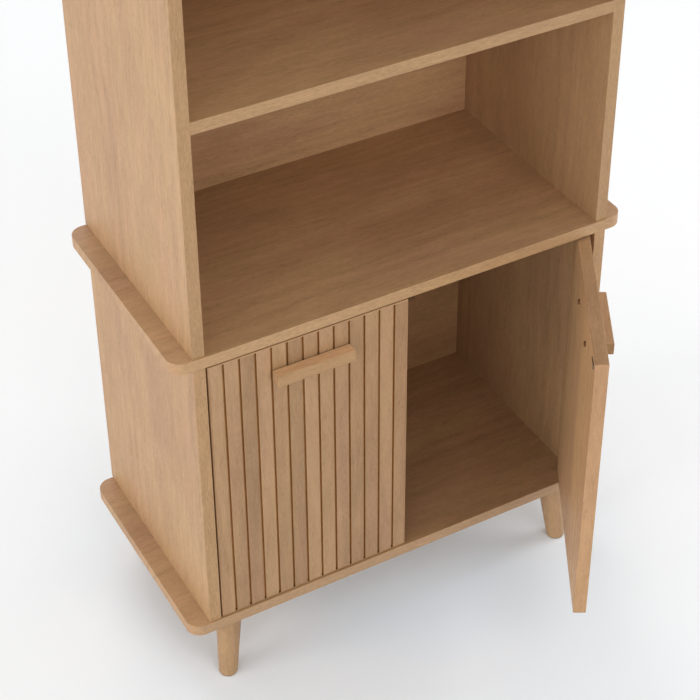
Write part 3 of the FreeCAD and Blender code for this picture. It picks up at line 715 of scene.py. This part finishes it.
def edging_shells(side):
    """Two strips across and two upright ones between them, soft only on their outer edges."""
    front, back = shut_low[1], shut_high[1]
    foot, head = shut_low[2], shut_high[2]
    outer = across(side, 0, DOOR_WIDTH)
    hinge = across(side, 0, EDGING)
    free = across(side, DOOR_WIDTH - EDGING, DOOR_WIDTH)
    runs = [(outer, foot, foot + EDGING), (outer, head - EDGING, head),
            (hinge, foot + EDGING, head - EDGING), (free, foot + EDGING, head - EDGING)]
    shells = []
    for (left, right), low, high in runs:
        at_left, at_right = EDGING_CORNER * (left == outer[0]), EDGING_CORNER * (right == outer[1])
        outline = box_outline((left, front), (right, back), [at_left, at_right, at_right, at_left],
                              steps=3, hold=FINE_HOLD)
        section = rim(low, high, EDGING_RIM * (low == foot), EDGING_RIM * (high == head), steps=3,
                      hold=FINE_HOLD)
        shells.append(slab(*outline, section))
    return shells


# %% [markdown]
# ## Handles
#
# A handle is a square oak bar on two short round feet, one at each screw, so that fingers find
# room behind it. A cube and two cylinders with a Bevel modifier would do. Rings carried forward
# from an outline do as well, share their helpers with all the rest, and keep the bar's small
# radii exact.

# %% Handles
HANDLE_LENGTH, HANDLE_HEIGHT, HANDLE_DEPTH, HANDLE_DROP = 0.120, 0.019, 0.0165, 0.0495
HANDLE_CORNER, HANDLE_RIM = 0.0018, 0.001
HANDLE_STAND, HANDLE_FEET_APART, FOOT_RADIUS, FOOT_SINK = 0.0025, 0.096, 0.007, 0.0005


def disc_outline(centre, radius, steps=40):
    """Points and outward normals of a circle: centre + radius * (cos q, sin q)."""
    angle = np.linspace(0, 2 * math.pi, steps, endpoint=False)
    normals = np.stack([np.cos(angle), np.sin(angle)], 1)
    return np.array(centre) + radius * normals, normals


def handle_shells(side):
    """An oak bar and its two round feet, each an outline in z and x that is carried forward.

    The feet run a little way into the bar, so that no light slips between them."""
    middle = np.array([shut_high[2] - HANDLE_DROP, side * (-shut_low[0] - DOOR_WIDTH / 2)])
    half = np.array([HANDLE_HEIGHT, HANDLE_LENGTH]) / 2
    face = shut_low[1]
    back = face - HANDLE_STAND
    shells = [slab(*box_outline(middle - half, middle + half, [HANDLE_CORNER] * 4, steps=5),
                   rim(back - HANDLE_DEPTH, back, HANDLE_RIM, 0), axis="y")]
    for offset in (-HANDLE_FEET_APART / 2, HANDLE_FEET_APART / 2):
        outline = disc_outline(middle + [0, offset], FOOT_RADIUS)
        shells.append(slab(*outline, rim(back - FOOT_SINK, face, 0, 0), axis="y"))
    return shells


# %% [markdown]
# ## Both doors from the same lines
#
# Every shape of a door is worked out shut and then turned, and its material turns with it: the
# Mapping node takes the same angle, so the grain stands upright on the open door too. The flanks
# of the slats, the front of the core and the floor of each groove are rough and dull, as faces
# straight from the saw, and painted darker as shade, which makes the grooves as dark and warm as
# they are on the real door; the top of the lower edging strip at the foot of each groove holds
# the darkest painted shadow. The bar's front and ends are painted darker than its top, as shade,
# so that its top looks lit.

# %% Build both doors
WOOD_X, WOOD_Z = 0.1553, 0.374                          # the middle of a shut door
# Painted shadow on the top of the lower edging strip, in the pocket at the foot of each groove,
# below the given height
GROOVE_FOOT_SHADOW, GROOVE_FOOT_SHADOW_BELOW = (0.42, 0.33, 0.24), 0.3   # tint of the lower strip's top
# Painted light on the handles: the whole bar is brightened, and its front and ends are darkened
# back by the tint, as painted shade, so that its top looks lit
HANDLE_LIT_TOP_LIFT, HANDLE_SHADE_TINT = {"left": 1.28, "right": 1.18}, (0.755, 0.80, 0.85)

for side, hand in ((-1, "left"), (1, "right")):
    door = hand + "_door"
    _, angle, turn = hinges[door]
    centre = swung(np.array([side * WOOD_X, shut_low[1], WOOD_Z]), door)
    wide, front = turn @ [1, 0, 0], turn @ [0, -1, 0]
    # The slats' flanks are darkened by painted shade, for the shade in the grooves
    add_piece(hand + "_slats", opened(slat_shells(side), door), door,
              [door + "_slats"],
              oak("oak_%s_slats" % hand, "z front", centre, angle, (0.02, 0.06), sticks=True,
                  lift=0.88, dull_shaded=(wide, -wide)),
              sticks=SLAT_STICKS)
    # The lower strip's top is darkened by painted shadow at the foot of each groove
    add_piece(hand + "_edging", opened(edging_shells(side), door), door,
              [door + "_edging"],
              oak("oak_%s_edging" % hand, "z front", centre, angle, (0.2, 0.1), sticks=True,
                  lift=0.98, sheen=0.3, dull_shaded=((0, 0, 1),), shade_tint=GROOVE_FOOT_SHADOW,
                  dull_shaded_below=GROOVE_FOOT_SHADOW_BELOW),
              sticks=EDGING_STICKS, lying=(0, 1))
    add_piece(hand + "_bar_handle", opened(handle_shells(side), door), door,
              [hand + "_handle"],
              oak("oak_%s_handle" % hand, "x front", centre, angle, (0.2, 0.3),
                  lift=HANDLE_LIT_TOP_LIFT[hand], dull_shaded=(front, wide, -wide), shade_tint=HANDLE_SHADE_TINT))
    # The core's front, the floor of each groove, is darkened by painted shade
    dress([door + "_panel"], oak("oak_%s_core" % hand, "z front", centre, angle, (0.04, 0.05),
                                 lift=1.25, dull_shaded=(front,)))

# %% [markdown]
# ## Strike plates and small parts
#
# A strike plate is a steel disc with a narrow ear for its screw. A disc alone would do from afar,
# but the ear shows on the open door. Pins, bushes, catches, screws and dowels are plain turned or
# moulded parts whose nodes are right as they are.

# %% Strike plates and small parts
PLATE_DISC, PLATE_EAR, PLATE_NECK = 0.005, 0.003, 0.0015      # two radii and a half width
PLATE_REACH = 0.0155                                          # from the disc's middle to the ear's
PLATE_X, PLATE_DROP, PLATE_DEPTH, PLATE_RIM = 0.0143, 0.0125, 0.001, 0.0003


def plate_outline(centre, side, steps=40):
    """A disc joined to a smaller disc by a neck: each arc runs from where the neck leaves it to
    where the neck comes back, at the angles whose sine is the neck's half width over the radius.

    It is drawn in x and z and handed on in z and x. That turns it over, so its order turns too."""
    cut_disc, cut_ear = math.asin(PLATE_NECK / PLATE_DISC), math.asin(PLATE_NECK / PLATE_EAR)
    big = np.linspace(cut_disc, 2 * math.pi - cut_disc, steps)
    small = np.linspace(-math.pi + cut_ear, math.pi - cut_ear, steps // 2)
    normals = np.vstack([np.stack([np.cos(big), np.sin(big)], 1),
                         np.stack([np.cos(small), np.sin(small)], 1)])
    points = normals * np.r_[np.full(steps, PLATE_DISC), np.full(steps // 2, PLATE_EAR)][:, None]
    points[steps:, 0] += PLATE_REACH
    if side < 0:
        points[:, 0] *= -1
        normals = normals * [-1, 1]
        points, normals = points[::-1], normals[::-1]
    points = points + centre
    return points[:, ::-1][::-1], normals[:, ::-1][::-1]


for side, hand in ((-1, "left"), (1, "right")):
    door = hand + "_door"
    outline = plate_outline((side * PLATE_X, shut_high[2] - PLATE_DROP), side)
    section = rim(shut_high[1], shut_high[1] + PLATE_DEPTH, 0, PLATE_RIM, steps=3, hold=FINE_HOLD)
    add_piece(hand + "_strike", opened([slab(*outline, section, axis="y")], door), door,
              [hand + "_strike_plate"], strike_steel)
    dress([hand + "_handle_screws", hand + "_strike_screw"], brown_screw)
    dress([hand + "_pivot_pins"], zinc)

dress(["leg_bolts", "leg_inserts", "carcass_screws", "back_nails", "catch_screws",
       "wall_brackets", "wall_bracket_screws"], zinc)
dress(["pivot_bushes"], nylon)
dress(["catch_housings"], catch_plastic)
dress(["catch_magnets"], magnet)
dress(["hutch_dowels", "cabinet_dowels", "shelf_dowels"], birch)
dress(["foot_pads"], felt)

# %% [markdown]
# ## A pale floor
#
# The bookcase stands in a white studio, on a pale floor that runs into a white surround. A plain
# white floor would do, but with so much light from everywhere its shadow would be hardly there.
# A ramp over the distance from the middle paints a shadow into the floor: a little cooler and
# darker under the bookcase, and the cool tint also cancels the warm light that the wood throws on
# it. A second ramp paints faint shade towards the left.

# %% Floor
HALF = 40.0
UNDER = (0.05, 0.05, 0)                 # where the floor is darkest
mesh = bpy.data.meshes.new("floor")
mesh.from_pydata([(-HALF, -HALF, 0), (HALF, -HALF, 0), (HALF, HALF, 0), (-HALF, HALF, 0)], [],
                 [[0, 1, 2, 3]])
floor = new_object("floor", mesh)
paint, tree, shader = new_material("studio_floor")
shader.inputs["Roughness"].default_value = 0.9
place = node(tree, "TexCoord").outputs["Object"]
# Painted shadow: darker and cooler near the middle of the bookcase; the cool tint also cancels the
# warm light that the wood throws on the floor
reach = vector_node(tree, "LENGTH", vector_node(tree, "SUBTRACT", place, UNDER), output="Value")
painted_floor_shadow = ramp(tree, reach, [(0.14, (0.815, 0.91, 1.0)), (0.26, (0.895, 0.95, 1.0)),
                          (0.42, (0.930, 0.968, 1.0)), (0.95, (0.970, 0.982, 0.992))], "LINEAR")
# Painted shade: faintly darker towards the left
east = node(tree, "SeparateXYZ", {0: place}).outputs["X"]
shade = ramp(tree, math_node(tree, "MULTIPLY_ADD", east, 0.5, 0.5), [(0.2, 0.955), (0.45, 1.0)])
tree.links.new(blend(tree, 1.0, painted_floor_shadow, shade, "MULTIPLY"), shader.inputs["Base Color"])
mesh.materials.append(paint)
print("floor %.0f m across" % (2 * HALF))


# %% [markdown]
# ## Soft lamps
#
# A studio lights furniture with big soft boxes, so that broad faces are even and edges keep a
# gentle gradient. One lamp would throw one hard shadow. Seven square lamps stand round the
# bookcase, the strongest at its sides, and all aim at its middle. The world adds the light of
# white walls: pure white to the camera and in reflections, and weaker where it only lights.

# %% Lamps
AIM, LAMP_SIZE = (0, 0, 0.7), 3.5
LAMPS = (                      # name, place and power in watts
    ("lamp_left", (-6.0, 0.0, 2.0), 162),
    ("lamp_right", (6.0, -1.0, 2.5), 171),
    ("lamp_left_rear", (-4.5, 4.0, 2.5), 24),
    ("lamp_left_front", (-4.5, -4.0, 2.5), 80),
    ("lamp_front", (0.5, -6.0, 2.0), 55),
    ("lamp_high_front", (0.0, -4.0, 5.0), 65),
    ("lamp_high_rear", (0.0, 4.0, 5.0), 98))
WALLS_SEEN, WALLS_LIGHT = 1.0, 0.42     # the world's strength: as it is seen, and as it lights


def stand(made, place, right, up, back):
    """Puts a lamp or a camera at its place, with its three axes along these directions."""
    turn = Matrix(np.stack([right, up, back], 1).tolist()).to_4x4()
    made.matrix_world = Matrix.Translation(place) @ turn


for name, place, power in LAMPS:
    light = bpy.data.lights.new(name, "AREA")
    light.shape = "SQUARE"
    light.size = LAMP_SIZE
    light.energy = power
    back = np.array(place, float) - np.array(AIM, float)
    back /= np.linalg.norm(back)
    right = np.cross([0.0, 0.0, 1.0], back)
    right /= np.linalg.norm(right)
    stand(new_object(name, light), place, right, np.cross(back, right), back)
    print("%-16s %3d W" % (name, power))

world = bpy.data.worlds.new("studio")
bpy.context.scene.world = world
world.use_nodes = True
tree = world.node_tree
path = node(tree, "LightPath")
seen = math_node(tree, "MAXIMUM", path.outputs["Is Camera Ray"], path.outputs["Is Glossy Ray"])
seen = math_node(tree, "MAXIMUM", seen, path.outputs["Is Transmission Ray"])
strength = math_node(tree, "MULTIPLY_ADD", seen, WALLS_SEEN - WALLS_LIGHT, WALLS_LIGHT)
tree.nodes["Background"].inputs["Color"].default_value = (1, 1, 1, 1)
tree.links.new(strength, tree.nodes["Background"].inputs["Strength"])

# %% [markdown]
# ## The camera
#
# The camera looks down on the bookcase from the left, from above a tall person's head. Three
# angles say how far it looks up, how far round and how much it rolls, and from them come the
# three directions of the picture: to the right, up and ahead. The picture is cut off above, so
# its middle lies below the lens's axis. Tilting the camera would make the uprights converge
# more, so the film is shifted instead, as an architect's camera does it.

# %% Camera
CAMERA_AT = (-1.075346, -1.828877, 2.183451)
LOOK_UP, LOOK_ROUND, ROLL = -0.6184465, 0.5051505, -0.0065759
FOCAL_PIXELS, CENTRE_ROW, FRAME_PIXELS = 1883.668, 239.75, 700
FILM = 36.0                             # millimetres

ahead = np.array([math.sin(LOOK_ROUND) * math.cos(LOOK_UP),
                  math.cos(LOOK_ROUND) * math.cos(LOOK_UP), math.sin(LOOK_UP)])
level = np.array([math.cos(LOOK_ROUND), -math.sin(LOOK_ROUND), 0.0])
upright = np.cross(level, ahead)
right = level * math.cos(ROLL) + upright * math.sin(ROLL)
view = bpy.data.cameras.new("camera")
view.sensor_width = FILM
view.lens = FOCAL_PIXELS / FRAME_PIXELS * FILM
view.shift_y = (CENTRE_ROW - FRAME_PIXELS / 2) / FRAME_PIXELS
view.clip_start, view.clip_end = 0.1, 200.0
camera = new_object("camera", view)
stand(camera, CAMERA_AT, right, np.cross(right, ahead), -ahead)
bpy.context.scene.camera = camera
bpy.context.scene.view_settings.view_transform = "Standard"
print("camera: %.1f mm lens, shifted by %.3f" % (view.lens, view.shift_y))
